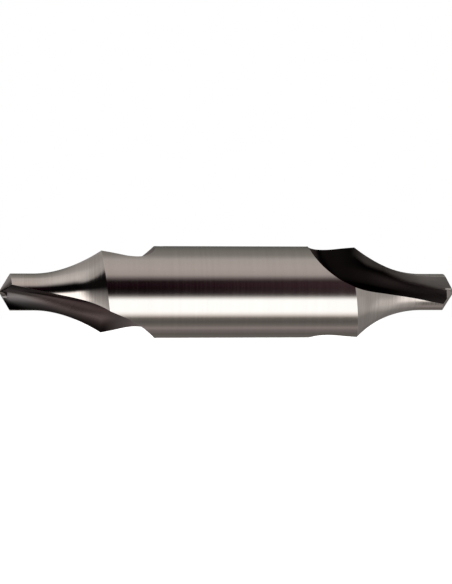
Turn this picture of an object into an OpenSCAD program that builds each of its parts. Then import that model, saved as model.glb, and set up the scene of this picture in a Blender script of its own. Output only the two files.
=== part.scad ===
// Double-ended centre drill with a curved (form R) countersink, right-hand cutting,
// two slow right-hand helical flutes at each end. One solid piece of high-speed steel.
// The axis lies along X, the origin is the middle of the shank, +Z is up. Sizes in mm.

/* [Blank] */
// Shank diameter
shank_d = 12.5; // [11:0.1:14]
// Pilot diameter
pilot_d = 5; // [4.5:0.1:5.6]
// Length over both points
overall_l = 62.5; // [58:0.5:80]
// Included angle of the points
point_angle = 120; // [114:1:126]
// Distance from the point to the start of the curve
curve_start = 4.55; // [4:0.05:5.5]
// Radius of the curve between pilot and shank
curve_r = 13.2; // [12.5:0.1:16]

/* [Relief] */
// Axial fall of the curve behind a cutting edge, for each 90 degrees
curve_relief = 1.2; // [0.6:0.05:1.4]
// Axial fall of a point flank behind its lip, as a share of the radius for each 90 degrees
flank_relief = 0.2; // [0.1:0.01:0.3]
// Distance from the tip to the back of the gash that thins the web
gash_l = 1.2; // [0.95:0.05:1.5]

/* [Flutes] */
// Flute length at the left end, measured from the point
flute_l = 21; // [20.2:0.1:23]
// How much shorter the flutes of the right end are
flute_trim = 0.5; // [0:0.1:0.8]
// Lead of the right-hand helix
flute_lead = 92; // [80:1:120]
// Half the web thickness at the point
web_half = 0.92; // [0.9:0.02:1.1]
// Growth of the half web for each millimetre of flute
web_taper = 0.067; // [0.04:0.001:0.09]
// Radius of the hollow cutting face
face_r = 4.6; // [3.4:0.1:4.8]
// Radius between the flute's floor and the heel wall
heel_r = 1.5; // [0.8:0.1:2]
// Slope of the cutting face's outer part against the flute's middle line
face_slope = 57.5; // [57.5:0.5:64]
// Slope of the heel wall against the flute's middle line
heel_slope = 62; // [59:0.5:66]
// Radius of the run-out at the shank end of a flute
runout_r = 4.3; // [4.2:0.1:6]
// Turn of the left end's flutes at the point, upwards from the front
flute_turn = -13.5; // [-90:0.5:90]
// Turn of the right end against the left end
end_turn = 18; // [-90:0.5:90]

/* [Hidden] */
$fn = 128;
shank_r = shank_d / 2;
pilot_r = pilot_d / 2;
point_cot = 1 / tan(point_angle / 2);
land_steps = 14;
face_steps = 7;
heel_steps = 7;
gash_steps = 2;
proud_r = shank_r + 0.4;

// The flute's floor: a web that thickens from the point, then the arc of the run-out.
run_h = shank_r - web_half - web_taper * (flute_l - 3);
run_l = sqrt(2 * runout_r * run_h - run_h * run_h);
steep = runout_r - 0.02;
function arc(d) = runout_r - sqrt(runout_r * runout_r - d * d);
function climb(d) = d < steep ? arc(d) : arc(steep) + 8 * (d - steep);
function floor_h(x, fl) = web_half + web_taper * min(x, flute_l - 3) + climb(max(x - fl + run_l, 0));

// A flute's side in polar form: a round of radius q off the floor h, then a straight wall at the slope s.
function wall_gap(h, q, s) = (h + q) * sin(s) - q;
function round_end(h, q, s) = [h + q - q * sin(s), q * cos(s)];
function round_angle(h, q, s) = let (e = round_end(h, q, s)) atan2(e[1], e[0]);
function wall_r(h, q, s, a) = a < round_angle(h, q, s)
  ? (h + q) * cos(a) - sqrt(max(q * q - pow((h + q) * sin(a), 2), 0))
  : wall_gap(h, q, s) / sin(max(s - a, 0.5));

// Half opening of the flute, in degrees, where its side comes out at the radius r.
function opening(h, q, s, r) = r <= h ? 0
  : r < norm(round_end(h, q, s))
    ? acos(min(1, (pow(h + q, 2) + r * r - q * q) / (2 * (h + q) * r)))
    : s - asin(min(1, wall_gap(h, q, s) / r));

// Radius of the ground form, the angle b behind the cutting edge: pilot, curve, then proud of the shank.
function ease(x) = min(max((x - curve_start) / 6, 0), 1);
function along(x, b) = max(x - curve_start - curve_relief * b / 90 * ease(x), 0);
function form_r(x, b) = let (d = min(along(x, b), curve_r * 0.8))
  min(proud_r, pilot_r + curve_r - sqrt(curve_r * curve_r - d * d));

// Openings of the flute at x: cutting face side, then heel side.
function face_open(x, fl) = max(opening(floor_h(x, fl), face_r, face_slope, form_r(x, 0)), 2);
function heel_open(x, fl, guess = 40, n = 4) = n == 0 ? max(guess, 2)
  : let (r = form_r(x, 180 - face_open(x, fl) - guess))
    heel_open(x, fl, opening(floor_h(x, fl), heel_r, heel_slope, r), n - 1);

// Columns of one half turn: the land from cutting edge to heel, then the flute from heel to face.
cols = land_steps + heel_steps + face_steps;
half_cols = [for (i = [0:cols - 1]) i];

// Angle behind the cutting edge, then radius, of a column at x.
function land_at(c, x, fl) = (180 - face_open(x, fl) - heel_open(x, fl)) * c / land_steps;
function heel_at(c, x, fl) = heel_open(x, fl) * (1 - (c - land_steps) / heel_steps);
function face_at(c, x, fl) = face_open(x, fl) * (c - land_steps - heel_steps) / face_steps;
function behind(c, x, fl) = c <= land_steps ? land_at(c, x, fl)
  : c <= land_steps + heel_steps ? 180 - face_open(x, fl) - heel_at(c, x, fl)
  : 180 - face_open(x, fl) + face_at(c, x, fl);
function column_r(c, x, fl) = c <= land_steps ? form_r(x, behind(c, x, fl))
  : c <= land_steps + heel_steps
    ? min(wall_r(floor_h(x, fl), heel_r, heel_slope, heel_at(c, x, fl)), form_r(x, behind(c, x, fl)))
    : min(wall_r(floor_h(x, fl), face_r, face_slope, face_at(c, x, fl)), form_r(x, 0));

// The rim of the point: how far each column lies behind the tip.
// The gash runs from the heel to just past the floor.
rim_at = 1.5;
function lag(c) = behind(c, rim_at, flute_l) - (c < land_steps + heel_steps ? 0 : 180);
function cone_x(c) = column_r(c, rim_at, flute_l) * (point_cot + flank_relief * lag(c) / 90);
function in_gash(c) = c > land_steps && c <= land_steps + heel_steps + gash_steps;
function rim_x(c) = in_gash(c) ? max(cone_x(c), gash_l) : cone_x(c);

// A point on the form: distance from the tip, column and half turn.
function spoke(x, r, a) = [x, -r * cos(a), r * sin(a)];
function lead_angle(x, fl, turn) = turn - 360 / flute_lead * x - face_open(x, fl);
function form_point(x, c, half, turn, fl) =
  spoke(x, column_r(c, x, fl), lead_angle(x, fl, turn) - 180 * half - behind(c, x, fl));

// Stations along the end: pilot, curve, lands and run-out.
curve_end = curve_start + 10.5;
pilot_steps = 5;
function stations(fl) = let (run = fl - run_l) concat(
  [for (i = [1:12]) curve_start + (curve_end - curve_start) * i / 12],
  [for (i = [1:4]) curve_end + (run - curve_end) * i / 4],
  [for (i = [1:10]) run + runout_r * sin(90 * i / 10)],
  [fl + 0.5]);
function ring_x(i, c, past) = i <= pilot_steps
  ? rim_x(c) + (curve_start - rim_x(c)) * i / pilot_steps
  : past[i - pilot_steps - 1];

// One end's ground form as a solid, tip at the origin, running along +X past the other end.
module end_form(turn, fl) {
  n = 2 * cols;
  past = stations(fl);
  rings = pilot_steps + 1 + len(past);
  points = concat([[0, 0, 0]],
    [for (i = [0:rings - 1], half = [0, 1], c = half_cols)
      form_point(ring_x(i, c, past), c, half, turn, fl)],
    [for (half = [0, 1], c = half_cols)
      let (p = form_point(fl + 0.5, c, half, turn, fl)) [overall_l + 1, p[1], p[2]]]);
  tip = [for (j = [0:n - 1]) [0, 1 + j, 1 + (j + 1) % n]];
  skin = [for (i = [0:rings - 1], j = [0:n - 1], k = [0, 1])
    let (a = 1 + i * n + j, b = 1 + i * n + (j + 1) % n)
    k == 0 ? [a, a + n, b + n] : [a, b + n, b]];
  tail = [for (j = [n - 1:-1:0]) 1 + rings * n + j];
  polyhedron(points, concat(tip, skin, [tail]), convexity = 8);
}

// The bar, and what the grinding of each end leaves of it.
module centre_drill() color([0.62, 0.61, 0.59]) intersection() {
  translate([-overall_l / 2 - 1, 0, 0]) rotate([0, 90, 0]) cylinder(r = shank_r, h = overall_l + 2);
  translate([-overall_l / 2, 0, 0]) end_form(flute_turn, flute_l);
  rotate([0, 180, 0]) translate([-overall_l / 2, 0, 0])
    end_form(flute_turn + end_turn, flute_l - flute_trim);
}

centre_drill();
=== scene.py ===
import bpy
import numpy as np
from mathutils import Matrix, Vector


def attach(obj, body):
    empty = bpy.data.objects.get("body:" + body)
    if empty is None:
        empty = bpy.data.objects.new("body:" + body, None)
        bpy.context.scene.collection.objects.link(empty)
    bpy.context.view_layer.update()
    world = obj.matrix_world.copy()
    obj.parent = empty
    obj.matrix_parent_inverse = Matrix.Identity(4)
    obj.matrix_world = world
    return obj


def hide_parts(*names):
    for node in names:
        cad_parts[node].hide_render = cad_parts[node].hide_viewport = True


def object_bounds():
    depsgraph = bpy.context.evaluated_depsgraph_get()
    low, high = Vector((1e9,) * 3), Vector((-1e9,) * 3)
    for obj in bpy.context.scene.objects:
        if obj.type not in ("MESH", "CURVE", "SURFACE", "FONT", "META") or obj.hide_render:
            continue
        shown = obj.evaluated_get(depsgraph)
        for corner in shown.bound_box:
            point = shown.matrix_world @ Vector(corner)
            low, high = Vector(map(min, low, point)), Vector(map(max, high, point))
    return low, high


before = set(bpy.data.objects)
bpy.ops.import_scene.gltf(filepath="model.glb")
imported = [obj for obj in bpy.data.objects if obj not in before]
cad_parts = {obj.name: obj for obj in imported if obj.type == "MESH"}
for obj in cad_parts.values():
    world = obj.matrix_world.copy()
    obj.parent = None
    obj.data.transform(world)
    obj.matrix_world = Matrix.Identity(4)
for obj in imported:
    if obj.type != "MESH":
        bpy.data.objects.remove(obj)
cad_box = [list(map(float, corner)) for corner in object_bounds()]

# Double-ended centre drill: ground steel form, finishes, studio and camera

# Sizes in millimetres and degrees: length and shank from the frame, the rest as in the part's source
MM_PER_M = 1000
OVERALL_L = round((cad_box[1][0] - cad_box[0][0]) * MM_PER_M, 3)
HALF_L = OVERALL_L / 2
SHANK_R = round(-cad_box[0][2] * MM_PER_M, 3)
PILOT_R = 2.5
POINT_ANGLE = 120
POINT_COT = 1 / np.tan(np.radians(POINT_ANGLE / 2))
CURVE_START = 4.55
CURVE_R = 13.2
FLUTE_L = 21.0
FLUTE_TRIM = 0.5
FLUTE_LEAD = 92.0
FLUTE_TURN = -13.5
END_TURN = 18.0

# Relief for each 90 degrees behind a cutting edge: fall of the curve, the length over which that sets in, and
# fall of the point's flank as a share of the radius
CURVE_RELIEF = 1.2
CURVE_EASE = 6
FLANK_RELIEF = 0.2
# The arc of the curve stops at this share of its radius, past the shank
ARC_SHARE = 0.8

# Web: half its thickness at the point, growth for each millimetre, where that ends, and the thinning gash
WEB_HALF = 0.92
WEB_TAPER = 0.067
WEB_END = FLUTE_L - 3
GASH_L = 1.2
# The rim of the point follows the section at this distance from the tip
RIM_AT = 1.5

# Section of a flute: rounds off its floor, slopes of its walls, least half opening, least angle to a wall
FACE_R = 4.6
HEEL_R = 1.5
FACE_SLOPE = 57.5
HEEL_SLOPE = 62.0
LEAST_OPENING = 1.5
LEAST_ANGLE = 0.5
# Run-out of a flute: radius of its arc, where a steep straight climb takes over, and its height and length
RUNOUT_R = 4.3
STEEP = RUNOUT_R - 0.02
STEEP_CLIMB = 8
RUN_H = SHANK_R - (WEB_HALF + WEB_TAPER * WEB_END)
RUN_L = np.sqrt(2 * RUNOUT_R * RUN_H - RUN_H ** 2)

# Columns of one half turn: land, heel wall to the floor, cutting face; the gash's reach past the floor
LAND = 44
HEEL = 22
FACE = 22
GASH = 6
FLOOR = LAND + HEEL
HALF = FLOOR + FACE
# Rings from the tip: point, pilot, curve, lands beside the flutes, run-out, bar
POINT_RINGS = 7
PILOT_RINGS = 14
CURVE_RINGS = 44
LAND_RINGS = 10
RUNOUT_RINGS = 34
BAR_RINGS = 8
RIM = POINT_RINGS
MEET = RIM + PILOT_RINGS + CURVE_RINGS
PLAIN = MEET + LAND_RINGS + RUNOUT_RINGS


# In the form's functions x is the distance from the tip, fl the end's flute length, c a column, r a radius
def sind(a):
    """Sine of an angle in degrees."""
    return np.sin(np.radians(a))


def cosd(a):
    """Cosine of an angle in degrees."""
    return np.cos(np.radians(a))


def floor_height(x, fl):
    """Flute floor above the axis: a web that thickens from the point, then the run-out's arc and climb."""
    d = np.maximum(x - fl + RUN_L, 0)
    arc = RUNOUT_R - np.sqrt(RUNOUT_R ** 2 - np.minimum(d, STEEP) ** 2)
    return WEB_HALF + WEB_TAPER * np.minimum(x, WEB_END) + arc + STEEP_CLIMB * np.maximum(d - STEEP, 0)


def round_end(h, q, s):
    """Where the round of radius q off the floor h meets the wall of slope s: along the flute's middle line
    from the axis, then off that line."""
    return h + q - q * sind(s), q * cosd(s)


def wall_gap(h, q, s):
    """Distance from the axis to the straight wall that is tangent to the round."""
    return (h + q) * sind(s) - q


def wall_radius(h, q, s, a):
    """Flute side in polar form: near side of the round, then the straight wall."""
    along, across = round_end(h, q, s)
    circle = (h + q) * cosd(a) - np.sqrt(np.maximum(q ** 2 - ((h + q) * sind(a)) ** 2, 0))
    straight = wall_gap(h, q, s) / sind(np.maximum(s - a, LEAST_ANGLE))
    return np.where(a < np.degrees(np.arctan2(across, along)), circle, straight)


def opening(h, q, s, r):
    """Half opening of the flute where its side comes out at radius r: the side's polar form turned round."""
    along, across = round_end(h, q, s)
    c = h + q
    straight = s - np.degrees(np.arcsin(np.clip(wall_gap(h, q, s) / r, -1, 1)))
    circle = np.degrees(np.arccos(np.clip((c * c + r * r - q * q) / (2 * c * r), -1, 1)))
    return np.where(r <= h, 0, np.where(r < np.hypot(along, across), circle, straight))


def form_radius(x, b):
    """Ground form b degrees behind the cutting edge: pilot, then an arc that shifts away from the point."""
    ease = np.clip((x - CURVE_START) / CURVE_EASE, 0, 1)
    d = np.clip(x - CURVE_START - CURVE_RELIEF * b / 90 * ease, 0, ARC_SHARE * CURVE_R)
    return np.minimum(SHANK_R, PILOT_R + CURVE_R - np.sqrt(CURVE_R ** 2 - d * d))


def face_opening(x, fl):
    """Cutting face side's half opening, where the face comes out at the ground form."""
    return np.maximum(opening(floor_height(x, fl), FACE_R, FACE_SLOPE, form_radius(x, 0)), LEAST_OPENING)


def heel_opening(x, fl):
    """Heel side's half opening, found by repeated substitution because the heel is relief ground."""
    first_guess, rounds = 40.0, 8
    a = np.full_like(x, first_guess)
    for _ in range(rounds):
        r = form_radius(x, 180 - face_opening(x, fl) - a)
        a = opening(floor_height(x, fl), HEEL_R, HEEL_SLOPE, r)
    return np.maximum(a, LEAST_OPENING)


def section(c, x, fl):
    """Angle behind the cutting edge and radius of column c at x: land, heel wall, cutting face."""
    face, heel, h = face_opening(x, fl), heel_opening(x, fl), floor_height(x, fl)
    on_land = c <= LAND
    on_heel = ~on_land & (c <= FLOOR)
    heel_a = heel * (1 - np.clip((c - LAND) / HEEL, 0, 1))
    face_a = face * np.clip((c - FLOOR) / FACE, 0, 1)
    in_flute = 180 - face + np.where(on_heel, -heel_a, face_a)
    behind = np.where(on_land, (180 - face - heel) * c / LAND, in_flute)
    heel_wall = wall_radius(h, HEEL_R, HEEL_SLOPE, heel_a)
    face_wall = wall_radius(h, FACE_R, FACE_SLOPE, face_a)
    bar = form_radius(x, np.where(on_heel | on_land, behind, 0))
    wall = np.minimum(np.where(on_heel, heel_wall, face_wall), bar)
    return behind, np.where(on_land, bar, wall)


def rim_distance(c):
    """How far the rim of the point lies behind the tip: the cone, the flank's fall and the web's gash, which
    runs from the heel to just past the flute's floor."""
    behind, r = section(c, np.full_like(c, RIM_AT), FLUTE_L)
    lag = np.where(c < FLOOR, behind, behind - 180)
    cone = r * (POINT_COT + FLANK_RELIEF * lag / 90)
    in_gash = (c > LAND) & (c <= FLOOR + GASH)
    return np.where(in_gash, np.maximum(cone, GASH_L), cone)


def meeting_distance(c, fl):
    """Distance from the tip where the curve meets the shank: found by repeated substitution on the land, and
    faded over the flute back to the next cutting edge."""
    reach = np.sqrt(CURVE_R ** 2 - (CURVE_R - SHANK_R + PILOT_R) ** 2)
    fade = 1 - np.clip((c - LAND) / (HEEL + FACE), 0, 1)
    meet = np.full_like(c, CURVE_START + reach)
    rounds = 4
    for _ in range(rounds):
        behind = section(np.minimum(c, LAND), meet, fl)[0]
        meet = CURVE_START + reach + CURVE_RELIEF * behind / 90 * fade
    return meet


def steps(a, b, n, rounded=False):
    """Rows after a up to b in n steps: even ones, or ones that follow a quarter circle."""
    t = np.arange(1, n + 1)[:, None] / n
    return a + (b - a) * (sind(90 * t) if rounded else t)


def station_grid(c, fl):
    """Distance from the tip of every ring and column: the rim, then steps to the start of the curve, to its
    meeting with the shank, to the run-out, through the run-out and to the middle of the bar."""
    rim = rim_distance(c)
    start = np.full_like(c, CURVE_START)
    meet = meeting_distance(c, fl)
    run = np.full_like(c, fl - RUN_L)
    plain = run + RUNOUT_R
    return np.concatenate([
        rim[None],
        steps(rim, start, PILOT_RINGS),
        steps(start, meet, CURVE_RINGS),
        steps(meet, run, LAND_RINGS),
        steps(run, plain, RUNOUT_RINGS, rounded=True),
        steps(plain, np.full_like(c, HALF_L), BAR_RINGS)])


def end_grid(turn, fl):
    """One end as rings of columns, tip at the origin: distance along, radius from the section, and an angle
    up from the front that follows the helix. Past the run-out the columns turn to an even spread; before the
    rim, rings shrink to the tip."""
    c = np.tile(np.arange(HALF, dtype=float), 2)
    x = station_grid(c, fl)
    behind, r = section(np.broadcast_to(c, x.shape), x, fl)
    half = np.repeat([0.0, 180.0], HALF)
    angle = turn - 360 / FLUTE_LEAD * x - face_opening(x, fl) - half - behind
    pitch = 180 / HALF
    even = np.round(angle[-1, 0] / pitch) * pitch - np.arange(2 * HALF) * pitch
    plain = fl - RUN_L + RUNOUT_R
    t = np.clip((x - plain) / (HALF_L - plain), 0, 1)
    start = angle[PLAIN - RIM]
    angle = np.where(t > 0, start + (even - start) * t, angle)
    grid = np.stack([x, -r * cosd(angle), r * sind(angle)], -1)
    point = np.linspace(0, 1, POINT_RINGS + 2)[1:-1, None, None] * grid[0]
    return np.concatenate([point, grid])


def close_ring(values):
    """Values of rings and columns with the first column again at the end."""
    return np.concatenate([values, values[:, :1]], 1)


def run_lengths(grid):
    """Millimetres across each ring from its first column, and along each column from the first ring."""
    closed = close_ring(grid)
    across = np.zeros(closed.shape[:2])
    across[:, 1:] = np.cumsum(np.linalg.norm(np.diff(closed, axis=1), axis=-1), 1)
    along = np.zeros(grid.shape[:2])
    along[1:] = np.cumsum(np.linalg.norm(np.diff(grid, axis=0), axis=-1), 0)
    return across, along


def nearest_edge(across, along):
    """Distance to the nearest ground edge: along the section to a cutting edge or heel, or along the form to
    the rim of the point or the end of the curve. The plain bar has none, so its distance is far."""
    far = 5
    edges = np.array([0, LAND, HALF, HALF + LAND, 2 * HALF])
    gap = np.abs(across[:, :, None] - across[:, None, edges]).min(-1)
    ring_gap = close_ring(np.minimum(np.abs(along - along[RIM]), np.abs(along - along[MEET])))
    on_land = np.arange(2 * HALF + 1) % HALF <= LAND
    gap = np.where(on_land, np.minimum(gap, ring_gap), gap)
    gap[PLAIN:] += far
    return gap


def quad_corners(values):
    """Values at the four corners of every quad between rings and columns."""
    return np.stack([values[:-1, :-1], values[:-1, 1:], values[1:, 1:], values[1:, :-1]], -1)


def face_depth(across):
    """Distance down the flute from its cutting edge, at the four corners of every quad."""
    edge = across[:, np.repeat([HALF, 2 * HALF], HALF)]
    near, far = edge - across[:, :-1], edge - across[:, 1:]
    return np.stack([near[:-1], far[:-1], far[1:], near[1:]], -1)


# Finishes in the order of the drill's material slots
POINT, CURVE, SHANK, FLUTE, THINNED_LIP_PAINTED_SHADE, GASH_PAINTED_SHADE = range(6)
# The lip beside the gash, painted shade on the left end: columns across it, and rings back from the rim at
# the left and right end
LIP_COLUMNS = 5
LEFT_LIP_RINGS = 2
RIGHT_LIP_RINGS = 3
# Columns of the left end's gash at the tip, and how many more each ring back: start and end of its root,
# painted black as shade
ROOT_START = LAND + 4
ROOT_START_GROWTH = 1.7
ROOT_END = FLOOR - 8
ROOT_END_GROWTH = 2


def point_finish(ring, column, side):
    """Finish of the point by ring and column: on the left end the gash has a dark wall, from the flutes'
    painted shade, and below that a root of painted black shade, both wider the further they lie from the tip."""
    if side > 0:
        return np.full_like(column, POINT)
    root_start = ROOT_START + ROOT_START_GROWTH * ring
    root_end = ROOT_END + ROOT_END_GROWTH * ring
    wall = (column > LAND) & (column < root_start)
    root = (column >= root_start) & (column < root_end)
    return np.select([wall, root], [FLUTE, GASH_PAINTED_SHADE], POINT)


def quad_finish(ring, column, side):
    """Finish of every quad by ring and column: flutes, curve or shank beside them, point, lip, plain bar."""
    finish = np.where(column >= LAND, FLUTE, np.where(ring < MEET, CURVE, SHANK))
    finish = np.where(ring < RIM, point_finish(ring, column, side), finish)
    # The lip's finish: on the left end a darker copy of the point's, painted shade; on the right the point's
    # own
    lip_rings, lip_finish = (LEFT_LIP_RINGS, THINNED_LIP_PAINTED_SHADE) if side < 0 else (RIGHT_LIP_RINGS, POINT)
    lip_start = FLOOR + GASH
    on_lip = (column >= lip_start) & (column < lip_start + LIP_COLUMNS)
    finish = np.where(on_lip & (ring >= RIM) & (ring < RIM + lip_rings), lip_finish, finish)
    return np.where(ring >= PLAIN, SHANK, finish)


def end_faces(side, index, tip, across, along):
    """One end's quads and the fan of triangles at its tip. For each face: its corners' points, surface
    coordinates (across, along), distances to the nearest edge and depths down the flute, and its finish."""
    fan_depth = 3.0
    closed, tall, edge = close_ring(index), close_ring(along), nearest_edge(across, along)
    ring, column = np.meshgrid(np.arange(len(index) - 1), np.arange(2 * HALF) % HALF, indexing="ij")
    finish = quad_finish(ring, column, side)
    quads = {
        "points": quad_corners(closed),
        "grind": np.stack([quad_corners(across), quad_corners(tall)], -1),
        "from_edge": quad_corners(edge),
        "face_depth": face_depth(across),
        "finish": finish}
    left, right = across[0, :-1], across[0, 1:]
    fan_across = np.stack([left, right, left], -1)
    fan_along = np.stack([np.zeros_like(left), tall[0, 1:], tall[0, :-1]], -1)
    fan = {
        "points": np.stack([np.full(2 * HALF, tip), closed[0, 1:], closed[0, :-1]], -1),
        "grind": np.stack([fan_across, fan_along], -1),
        "from_edge": np.stack([edge[0, :-1], edge[0, 1:], edge[0, :-1]], -1),
        "face_depth": np.full((2 * HALF, 3), fan_depth),
        "finish": finish[0]}
    return quads, fan


def drill_faces():
    """Points of both ends in metres, the right end turned half round, and the faces: quads, then fans. The
    ends share the left end's middle ring."""
    points, quads, fans = [], [], []
    ends = ((-1, FLUTE_TURN, FLUTE_L), (1, FLUTE_TURN + END_TURN, FLUTE_L - FLUTE_TRIM))
    for side, turn, fl in ends:
        grid = end_grid(turn, fl)
        place = grid - [HALF_L, 0, 0]
        if side > 0:
            place = place * [-1, 1, -1]
        tip = sum(map(len, points))
        index = tip + 1 + np.arange(grid[..., 0].size).reshape(grid.shape[:2])
        if side < 0:
            middle_points, middle_index = place[-1], index[-1]
        else:
            gap = np.linalg.norm(place[-1][:, None] - middle_points[None], axis=-1)
            index[-1] = middle_index[gap.argmin(1)]
        points.append(np.concatenate([[[side * HALF_L, 0, 0]], place.reshape(-1, 3)]))
        end_quads, fan = end_faces(side, index, tip, *run_lengths(grid))
        quads.append(end_quads)
        fans.append(fan)
    return np.concatenate(points) / MM_PER_M, quads + fans


def drill_mesh():
    """Both ends' grids joined at the middle ring: rings of quads, and a fan of triangles at each tip."""
    sharp_angle = 24
    points, faces = drill_faces()
    joined = {name: np.concatenate([part[name].ravel() for part in faces]) for name in faces[0]}
    sizes = np.concatenate([np.full(part["finish"].size, part["points"].shape[-1]) for part in faces])
    used, corners = np.unique(joined["points"], return_inverse=True)
    mesh = bpy.data.meshes.new("centre_drill_ground")
    mesh.vertices.add(len(used))
    mesh.vertices.foreach_set("co", points[used].ravel())
    mesh.loops.add(len(corners))
    mesh.loops.foreach_set("vertex_index", corners.astype(np.int32))
    mesh.polygons.add(len(sizes))
    mesh.polygons.foreach_set("loop_start", (np.cumsum(sizes) - sizes).astype(np.int32))
    mesh.polygons.foreach_set("loop_total", sizes.astype(np.int32))
    mesh.update(calc_edges=True)
    mesh.uv_layers.new(name="grind").data.foreach_set("uv", joined["grind"])
    for name in ("from_edge", "face_depth"):
        mesh.attributes.new(name, "FLOAT", "CORNER").data.foreach_set("value", joined[name])
    mesh.polygons.foreach_set("material_index", joined["finish"].astype(np.int32))
    mesh.polygons.foreach_set("use_smooth", np.ones(len(sizes), bool))
    mesh.set_sharp_from_angle(angle=np.radians(sharp_angle))
    mesh.validate()
    round_bar(mesh, points[used][corners], np.repeat(joined["finish"] == SHANK, sizes))
    return mesh


def round_bar(mesh, corners, on_shank):
    """Corner normals of the bar's round outside point straight away from the axis."""
    least_radius = 1e-9
    normals = np.empty((len(corners), 3), np.float32)
    mesh.corner_normals.foreach_get("vector", normals.ravel())
    radius = np.linalg.norm(corners[:, 1:], axis=1, keepdims=True).clip(least_radius)
    radial = corners * [0, 1, 1] / radius
    normals = np.where(on_shank[:, None], radial, normals)
    mesh.normals_split_custom_set(normals.astype(np.float32))


def node(tree, kind, **settings):
    """A new node with its settings."""
    made = tree.nodes.new(kind)
    for key, value in settings.items():
        setattr(made, key, value)
    return made


def feed(tree, entry, value):
    """Link a socket to a node's entry, or set the entry to a plain value."""
    if isinstance(value, bpy.types.NodeSocket):
        tree.links.new(value, entry)
    else:
        entry.default_value = value


def maths(tree, operation, a, b, clamp=False):
    """One arithmetic step; a and b are sockets or numbers."""
    step = node(tree, "ShaderNodeMath", operation=operation, use_clamp=clamp)
    feed(tree, step.inputs[0], a)
    feed(tree, step.inputs[1], b)
    return step.outputs[0]


def mix(tree, share, first, second):
    """A colour between two colours, by share; each is a socket or a plain value. The places of the Mix node's
    entries and of its result are those for colours."""
    factor_entry, first_entry, second_entry, result = 0, 6, 7, 2
    blend = node(tree, "ShaderNodeMix", data_type="RGBA")
    feed(tree, blend.inputs[factor_entry], share)
    feed(tree, blend.inputs[first_entry], first)
    feed(tree, blend.inputs[second_entry], second)
    return blend.outputs[result]


def scale(tree, colour, level):
    """A colour times a level."""
    scaled = node(tree, "ShaderNodeVectorMath", operation="SCALE")
    feed(tree, scaled.inputs[0], colour)
    feed(tree, scaled.inputs["Scale"], level)
    return scaled.outputs[0]


def colour_ramp(tree, share, stops):
    """A colour by share from none to one: straight lines between the stops (share, colour)."""
    ramp = node(tree, "ShaderNodeValToRGB")
    elements = ramp.color_ramp.elements
    while len(elements) < len(stops):
        elements.new(0.5)
    for element, (at, colour) in zip(elements, stops):
        element.position = at
        element.color = (*colour, 1)
    tree.links.new(share, ramp.inputs[0])
    return ramp.outputs[0]


def level_by(tree, place, stops):
    """A level by place: straight lines between the stops (place, level)."""
    first = stops[0][0]
    span = stops[-1][0] - first
    top = max(level for _, level in stops)
    share = maths(tree, "DIVIDE", maths(tree, "SUBTRACT", place, first), span)
    greys = [((at - first) / span, (level / top, level / top, level / top)) for at, level in stops]
    return maths(tree, "MULTIPLY", colour_ramp(tree, share, greys), top)


def grind_lines_group():
    """Grinding marks from a stretched coordinate: fine noise for the lines, slow noise for broad patches."""
    tree = bpy.data.node_groups.new("grind_lines", "ShaderNodeTree")
    tree.interface.new_socket(name="Vector", in_out="INPUT", socket_type="NodeSocketVector")
    inside = node(tree, "NodeGroupInput")
    outside = node(tree, "NodeGroupOutput")
    for name, size, detail in (("Lines", 1.0, 3.0), ("Patches", 0.16, 2.0)):
        tree.interface.new_socket(name=name, in_out="OUTPUT", socket_type="NodeSocketFloat")
        noise = node(tree, "ShaderNodeTexNoise")
        noise.inputs["Scale"].default_value = size
        noise.inputs["Detail"].default_value = detail
        noise.inputs["Roughness"].default_value = 0.65
        tree.links.new(inside.outputs["Vector"], noise.inputs["Vector"])
        tree.links.new(noise.outputs[0], outside.inputs[name])
    return tree


def edge_wear_and_highlight_group():
    """Mask of the line beside every ground edge, partly rubbed bright and partly a painted highlight of its
    rounding: one at the edge, none a given width away.
    """
    tree = bpy.data.node_groups.new("edge_wear_and_highlight", "ShaderNodeTree")
    tree.interface.new_socket(name="Width", in_out="INPUT", socket_type="NodeSocketFloat")
    tree.interface.new_socket(name="Mask", in_out="OUTPUT", socket_type="NodeSocketFloat")
    inside = node(tree, "NodeGroupInput")
    outside = node(tree, "NodeGroupOutput")
    distance = node(tree, "ShaderNodeAttribute", attribute_name="from_edge")
    share = maths(tree, "DIVIDE", distance.outputs["Fac"], inside.outputs["Width"])
    left = maths(tree, "MAXIMUM", maths(tree, "SUBTRACT", 1.0, share), 0.0)
    tree.links.new(left, outside.inputs["Mask"])
    return tree


# Flute colour by place along the tool in millimetres: share of the tone, painted light and shade that stand
# in for the flutes' reflections, near black at the right end and light at the left; and strength of its warm
# tint
PAINTED_LIGHT_ALONG = [
    (-31.25, 0.3), (-30.3, 0.3), (-29.9, 0.9), (-27, 0.85), (-24.9, 1.25), (-22.9, 1.70), (-20.1, 1.65),
    (-17.4, 1.7), (-16, 1.8), (-14.9, 2.1), (-13.5, 3.2), (-12.6, 5.0), (-11.8, 5.5), (10.6, 1.6),
    (11.4, 0.8), (12.6, 0.16), (14, 0.09), (16.5, 0.10), (19, 0.16), (27, 1.0), (31.25, 1.0)]
TINT_ALONG = [
    (-31.25, 0.5), (-28, 0.5), (-24, 1.3), (-17, 1.4), (-14.5, 0.6), (-12.8, 0), (-11, 0), (10, 1),
    (31.25, 1)]
# Left end: share of the tone by depth below the cutting edge, painted shade and light down the cutting face;
# then by place along the tool, the scale of that depth and how far the share holds
PAINTED_LIGHT_DOWN = [
    (0, 0.08), (0.3, 0.10), (0.7, 0.25), (0.9, 0.40), (1.1, 0.68), (1.5, 1.5), (1.8, 1.75), (2.1, 1.7),
    (2.6, 1.2), (3.2, 1.0), (4.2, 0.6), (6, 0.6)]
DOWN_SCALE = [
    (-31.25, 0.75), (-28.4, 0.88), (-27, 1), (-22, 1), (-20.1, 0.85), (-17.4, 0.65), (31.25, 0.6)]
DOWN_HOLDS = [(-31.25, 1), (-17, 1), (-15, 0), (31.25, 0)]
# Left end: depth at which the matt heel wall sets in, and how fast
HEEL_DEPTH = 2.8
HEEL_RISE = 1.2
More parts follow.
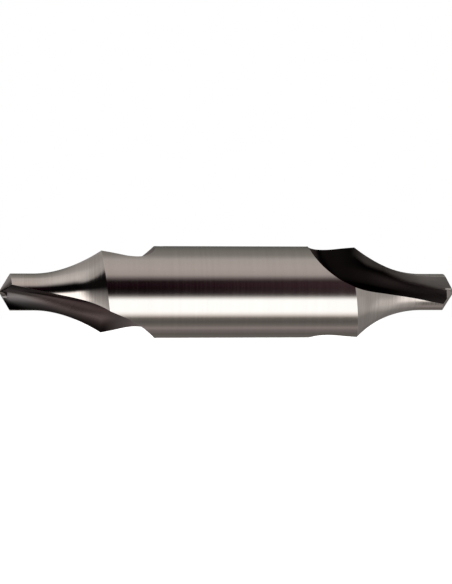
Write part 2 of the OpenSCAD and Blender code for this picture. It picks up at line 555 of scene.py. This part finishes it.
# Right end: matt strip below the cutting edge, rougher and with a lighter colour that is a painted highlight;
# its reach and level along the tool, colour and soft edge
STRIP_REACH = [
    (-31.25, 0), (15, 0), (17, 2.2), (18.9, 2.2), (21.2, 1.7), (24, 2.0), (26.7, 2.2), (28.9, 2.7),
    (31.25, 2.9)]
STRIP_PAINTED_LEVEL = [
    (-31.25, 0.05), (17, 0.05), (18.9, 0.85), (21.2, 0.6), (24, 0.95), (26.7, 1.15), (28.9, 0.9),
    (31.25, 0.7)]
STRIP_PAINTED_COLOUR = (0.21, 0.20, 0.19)
STRIP_RISE = 1.5
STRIP_START = 1.0
# How much rougher the matt places are, and the flute's reflection at a glancing angle
MATT_ROUGH = 0.43
FLUTE_GLANCE = (0.60, 0.56, 0.56, 1)


def flute_painted_light_and_matt(tree, tone):
    """The flutes' colour with its painted light and shade, from the tone along the tool and down the cutting
    face, with the strip's painted highlight, and the mask of its matt places: the strip on the right end's
    cutting face and the heel wall of the left end."""
    split = node(tree, "ShaderNodeSeparateXYZ")
    tree.links.new(node(tree, "ShaderNodeTexCoord").outputs["Object"], split.inputs[0])
    along = maths(tree, "MULTIPLY", split.outputs[0], MM_PER_M)
    down = node(tree, "ShaderNodeAttribute", attribute_name="face_depth").outputs["Fac"]
    depth = maths(tree, "MULTIPLY", down, level_by(tree, along, DOWN_SCALE))
    holds = level_by(tree, along, DOWN_HOLDS)
    change = maths(tree, "SUBTRACT", level_by(tree, depth, PAINTED_LIGHT_DOWN), 1.0)
    share = maths(tree, "ADD", maths(tree, "MULTIPLY", change, holds), 1.0)
    tinted = node(tree, "ShaderNodeHueSaturation")
    feed(tree, tinted.inputs["Saturation"], level_by(tree, along, TINT_ALONG))
    # The tone's level along the tool and down the face is painted light and shade
    level = maths(tree, "MULTIPLY", share, level_by(tree, along, PAINTED_LIGHT_ALONG))
    feed(tree, tinted.inputs["Color"], scale(tree, tone, level))
    # Strip below the cutting edge: rougher, and its lighter colour a painted highlight
    inside = maths(tree, "SUBTRACT", level_by(tree, along, STRIP_REACH), down)
    strip = maths(tree, "SUBTRACT", maths(tree, "MULTIPLY", inside, STRIP_RISE), STRIP_START, clamp=True)
    strip_painted_colour = scale(tree, STRIP_PAINTED_COLOUR, level_by(tree, along, STRIP_PAINTED_LEVEL))
    past = maths(tree, "SUBTRACT", depth, HEEL_DEPTH)
    heel = maths(tree, "MULTIPLY", maths(tree, "MULTIPLY", past, HEEL_RISE, clamp=True), holds)
    return mix(tree, strip, tinted.outputs[0], strip_painted_colour), maths(tree, "MAXIMUM", strip, heel)


# Bare bright steel along the edges, partly rubbed bright and partly a painted highlight of their rounding,
# and its strength
WORN_AND_LIT_EDGE_COLOUR = (0.78, 0.77, 0.75, 1)
WORN_AND_LIT_EDGE_SHARE = 0.6
# How much of the tone's change comes from the fine lines; the patches give the rest
LINES_SHARE = 0.6


def steel(name, tone, dark, rough, spread, stretch, bump, groups, wear_and_highlight, flute=False):
    """Ground steel: tone broken up by the grinding marks, roughness that follows them, brighter edges, partly
    rubbed and partly a painted highlight.
    The marks run round the axis, or along the flute by the surface's own coordinates."""
    material = bpy.data.materials.new(name)
    material.use_nodes = True
    tree = material.node_tree
    shader = tree.nodes["Principled BSDF"]
    shader.inputs["Metallic"].default_value = 1.0
    place = node(tree, "ShaderNodeMapping")
    place.inputs["Scale"].default_value = stretch
    if flute:
        tree.links.new(node(tree, "ShaderNodeUVMap", uv_map="grind").outputs[0], place.inputs[0])
    else:
        tree.links.new(node(tree, "ShaderNodeTexCoord").outputs["Object"], place.inputs[0])
    marks = node(tree, "ShaderNodeGroup", node_tree=groups["lines"])
    tree.links.new(place.outputs[0], marks.inputs["Vector"])
    lines, patches = marks.outputs["Lines"], marks.outputs["Patches"]
    wear_and_highlight_node = node(tree, "ShaderNodeGroup", node_tree=groups["wear_and_highlight"])
    wear_and_highlight_node.inputs["Width"].default_value = wear_and_highlight
    fine = maths(tree, "MULTIPLY", lines, LINES_SHARE)
    broad = maths(tree, "MULTIPLY", patches, 1 - LINES_SHARE)
    skin = mix(tree, maths(tree, "ADD", fine, broad), (*dark, 1), (*tone, 1))
    ripple = maths(tree, "MULTIPLY", maths(tree, "SUBTRACT", lines, 0.5), spread)
    polish = maths(tree, "ADD", ripple, rough)
    if flute:
        skin, matt = flute_painted_light_and_matt(tree, skin)
        polish = maths(tree, "ADD", polish, maths(tree, "MULTIPLY", matt, MATT_ROUGH))
        shader.inputs["Specular Tint"].default_value = FLUTE_GLANCE
    # Brighter edges, partly rubbed and partly a painted highlight
    bright = maths(tree, "MULTIPLY", wear_and_highlight_node.outputs["Mask"], WORN_AND_LIT_EDGE_SHARE)
    tree.links.new(mix(tree, bright, skin, WORN_AND_LIT_EDGE_COLOUR), shader.inputs["Base Color"])
    tree.links.new(polish, shader.inputs["Roughness"])
    relief = node(tree, "ShaderNodeBump")
    relief.inputs["Strength"].default_value = 1.0
    relief.inputs["Distance"].default_value = bump
    tree.links.new(lines, relief.inputs["Height"])
    tree.links.new(relief.outputs[0], shader.inputs["Normal"])
    return material


def drill_finishes():
    """The drill's materials, in the order of its finishes."""
    groups = {"lines": grind_lines_group(), "wear_and_highlight": edge_wear_and_highlight_group()}
    speckle = (9000, 900, 900)
    return [
        steel("ground_point", tone=(0.54, 0.525, 0.51), dark=(0.45, 0.43, 0.42), rough=0.32, spread=0.10,
              stretch=speckle, bump=3e-6, groups=groups, wear_and_highlight=0.08),
        steel("ground_curve", tone=(0.86, 0.84, 0.82), dark=(0.50, 0.48, 0.46), rough=0.09, spread=0.14,
              stretch=(3600, 40, 40), bump=1.4e-5, groups=groups, wear_and_highlight=0.08),
        steel("ground_shank", tone=(0.67, 0.655, 0.64), dark=(0.54, 0.525, 0.51), rough=0.13, spread=0.14,
              stretch=(3000, 40, 40), bump=5e-6, groups=groups, wear_and_highlight=0.08),
        # Flute steel: its dark tone, scaled along the tool, is painted shade and light standing in for
        # reflections
        steel("ground_flute_painted_light", tone=(0.100, 0.087, 0.086), dark=(0.060, 0.049, 0.050), rough=0.22, spread=0.12,
              stretch=(6, 0.25, 1), bump=5e-6, groups=groups, wear_and_highlight=0.03, flute=True),
        # A darker copy of the point's finish for the left lip: painted shade
        steel("ground_lip_painted_shade", tone=(0.24, 0.23, 0.225), dark=(0.17, 0.16, 0.155), rough=0.32, spread=0.10,
              stretch=speckle, bump=3e-6, groups=groups, wear_and_highlight=0.01),
        # Near black steel at the left gash's root: painted shade
        steel("gash_painted_shade", tone=(0.020, 0.017, 0.017), dark=(0.012, 0.010, 0.010), rough=0.25, spread=0.10,
              stretch=speckle, bump=3e-6, groups=groups, wear_and_highlight=0.01)]


# Studio tones round the tool: angle about its axis from straight ahead (degrees up), then red, green, blue
FRONT_TONES = [
    (-180, (0.090, 0.082, 0.074)), (-145, (0.095, 0.087, 0.078)), (-131, (0.090, 0.080, 0.072)),
    (-112, (0.140, 0.120, 0.115)), (-102, (0.215, 0.180, 0.172)), (-93, (0.130, 0.115, 0.105)),
    (-80, (0.080, 0.073, 0.066)), (-68, (0.120, 0.105, 0.095)), (-62, (0.480, 0.440, 0.405)),
    (-55, (0.900, 0.860, 0.820)), (-48, (1.000, 1.000, 0.985)), (-20, (1.000, 1.000, 0.985)),
    (-14, (0.520, 0.490, 0.470)), (-9, (0.100, 0.090, 0.085)), (-3, (0.010, 0.008, 0.008)),
    (8, (0.001, 0.000, 0.000)), (17, (0.006, 0.001, 0.003)), (27, (0.004, 0.002, 0.002)),
    (33, (0.080, 0.065, 0.065)), (38, (0.200, 0.170, 0.162)), (44, (0.310, 0.270, 0.250)),
    (60, (0.350, 0.306, 0.283)), (88, (0.320, 0.290, 0.272)), (98, (0.230, 0.212, 0.196)),
    (106, (0.178, 0.163, 0.150)), (125, (0.138, 0.130, 0.117)), (152, (0.082, 0.080, 0.073)),
    (180, (0.080, 0.078, 0.071))]
# A little to the right: the same with the dark camera side lifted between two angles
LIFT = (0.024, 0.013, 0.015)
LIFT_FROM = -6
LIFT_TO = 30
LIFTED_TONES = [
    (angle, tuple(np.add(tone, LIFT)) if LIFT_FROM < angle < LIFT_TO else tone)
    for angle, tone in FRONT_TONES]
# Half way to the right, right, far right, and half way to the left: angle, then level
MID_RIGHT_TONES = [
    (-180, 0.10), (-127, 0.12), (-108, 0.15), (-96, 0.20), (-80, 0.24), (-68, 0.34), (-55, 0.60), (-43, 0.68),
    (-25, 0.64), (-12, 0.36), (0, 0.14), (28, 0.08), (40, 0.03), (100, 0.03), (120, 0.06), (180, 0.08)]
RIGHT_TONES = [
    (-180, 0.12), (-150, 0.13), (-127, 0.14), (-108, 0.165), (-88, 0.27), (-67, 0.36), (-43, 0.37),
    (-19, 0.26), (10, 0.20), (60, 0.24), (100, 0.24), (180, 0.13)]
FAR_RIGHT_TONES = [
    (-180, 0.24), (-115, 0.27), (-90, 0.24), (-45, 0.22), (60, 0.21), (100, 0.21), (180, 0.23)]
MID_LEFT_TONES = [
    (-180, 0.16), (-131, 0.20), (-112, 0.42), (-90, 0.45), (-74, 0.40), (-68, 0.42), (-62, 0.62), (-55, 0.95),
    (-48, 1.00), (-20, 1.00), (-14, 0.85), (-9, 0.25), (-4, 0.010), (5, 0.001), (27, 0.001), (33, 0.04),
    (40, 0.16), (47, 0.29), (55, 0.38), (69, 0.40), (90, 0.34), (100, 0.27), (111, 0.23), (134, 0.19),
    (153, 0.22), (180, 0.17)]
# Left: 180 times the height of the direction above the axis, then level
LEFT_TONES = [
    (-180, 0.34), (-92, 0.32), (-54, 0.19), (-27, 0.09), (-9, 0.018), (0, 0.003), (40, 0.003), (54, 0.015),
    (61, 0.11), (72, 0.24), (100, 0.28), (180, 0.28)]
# A plain level is a slightly warm grey: green and blue against red
WARM_GREEN = 0.92
WARM_BLUE = 0.87
STUDIO_STRENGTH = 1.75


def studio_tones(tree, share, tones):
    """Tones by angle, with -180 to 180 degrees laid out over the share from none to one."""
    stops = []
    for angle, tone in tones:
        colour = tone if isinstance(tone, tuple) else (tone, tone * WARM_GREEN, tone * WARM_BLUE)
        stops.append(((angle + 180) / 360, colour))
    return colour_ramp(tree, share, stops)


def studio_world():
    """Soft studio round the tool, by the angle about the tool's axis from straight ahead: grey ceiling, dark
    camera side, bright low front, grey behind; other tones towards both ends, each faded in between two
    values of the direction's part along the axis. The camera sees plain white."""
    world = bpy.data.worlds.new("studio")
    bpy.context.scene.world = world
    world.use_nodes = True
    tree = world.node_tree
    tree.nodes.clear()
    parts = node(tree, "ShaderNodeSeparateXYZ")
    tree.links.new(node(tree, "ShaderNodeTexCoord").outputs["Generated"], parts.inputs[0])
    along, back, up = parts.outputs
    turn = maths(tree, "ARCTAN2", up, maths(tree, "MULTIPLY", back, -1.0))
    share = maths(tree, "ADD", maths(tree, "MULTIPLY", turn, 1 / (2 * np.pi)), 0.5)
    height = maths(tree, "ADD", maths(tree, "MULTIPLY", up, 0.5), 0.5)
    sides = (
        (share, 0.02, 0.17, LIFTED_TONES), (share, 0.17, 0.37, MID_RIGHT_TONES),
        (share, 0.47, 0.61, RIGHT_TONES), (share, 0.84, 0.96, FAR_RIGHT_TONES),
        (share, -0.03, -0.4, MID_LEFT_TONES), (height, -0.72, -0.90, LEFT_TONES))
    colour = studio_tones(tree, share, FRONT_TONES)
    for place, near, far, tones in sides:
        fade = node(tree, "ShaderNodeMapRange", interpolation_type="SMOOTHSTEP")
        fade.inputs["From Min"].default_value = near
        fade.inputs["From Max"].default_value = far
        tree.links.new(along, fade.inputs[0])
        colour = mix(tree, fade.outputs[0], colour, studio_tones(tree, place, tones))
    around = node(tree, "ShaderNodeBackground")
    around.inputs["Strength"].default_value = STUDIO_STRENGTH
    tree.links.new(colour, around.inputs["Color"])
    plain = node(tree, "ShaderNodeBackground")
    plain.inputs["Color"].default_value = (1, 1, 1, 1)
    pick = node(tree, "ShaderNodeMixShader")
    tree.links.new(node(tree, "ShaderNodeLightPath").outputs["Is Camera Ray"], pick.inputs[0])
    tree.links.new(around.outputs[0], pick.inputs[1])
    tree.links.new(plain.outputs[0], pick.inputs[2])
    tree.links.new(pick.outputs[0], node(tree, "ShaderNodeOutputWorld").inputs[0])


def pale_floor():
    """Plain pale floor below the tool, a square with the middle below the tool's."""
    reach, height = 3.0, -0.055
    around = ((-1, -1), (1, -1), (1, 1), (-1, 1))
    mesh = bpy.data.meshes.new("floor")
    mesh.from_pydata([(x * reach, y * reach, height) for x, y in around], [], [(0, 1, 2, 3)])
    floor = bpy.data.objects.new("floor", mesh)
    bpy.context.collection.objects.link(floor)
    floor.visible_glossy = False
    paint = bpy.data.materials.new("pale_floor")
    paint.use_nodes = True
    shader = paint.node_tree.nodes["Principled BSDF"]
    shader.inputs["Base Color"].default_value = (0.94, 0.94, 0.94, 1)
    shader.inputs["Roughness"].default_value = 1.0
    shader.inputs["Specular IOR Level"].default_value = 0.0
    mesh.materials.append(paint)


def soft_light():
    """One broad soft light from above that whitens the floor."""
    lamp = bpy.data.lights.new("soft_sky", "SUN")
    lamp.energy = 3.3
    lamp.angle = np.radians(60)
    sky = bpy.data.objects.new("soft_sky", lamp)
    sky.visible_glossy = False
    bpy.context.collection.objects.link(sky)


def camera_at_photo():
    """Camera level with the axis, a little to the left of square on, at the distance the outline gives."""
    yaw, distance, pixels_per_mm = np.radians(5.57), 0.2214, 7.316
    picture_height, sensor, shift_pixels = 584, 36, -3.2
    lens = bpy.data.cameras.new("camera")
    lens.sensor_fit = "VERTICAL"
    lens.sensor_height = sensor
    lens.lens = sensor * pixels_per_mm * distance * MM_PER_M / picture_height
    lens.shift_x = shift_pixels / picture_height
    lens.clip_start = 0.005
    camera = bpy.data.objects.new("camera", lens)
    camera.location = (-distance * np.sin(yaw), -distance * np.cos(yaw), 0)
    camera.rotation_euler = (np.radians(90), 0, -yaw)
    bpy.context.collection.objects.link(camera)
    bpy.context.scene.camera = camera


camera_at_photo()
studio_world()
pale_floor()
soft_light()

drill = bpy.data.objects.new("centre_drill_ground", drill_mesh())
bpy.context.collection.objects.link(drill)
for finish in drill_finishes():
    drill.data.materials.append(finish)
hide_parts("centre_drill")
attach(drill, "root")

bpy.context.scene.view_settings.view_transform = "Standard"
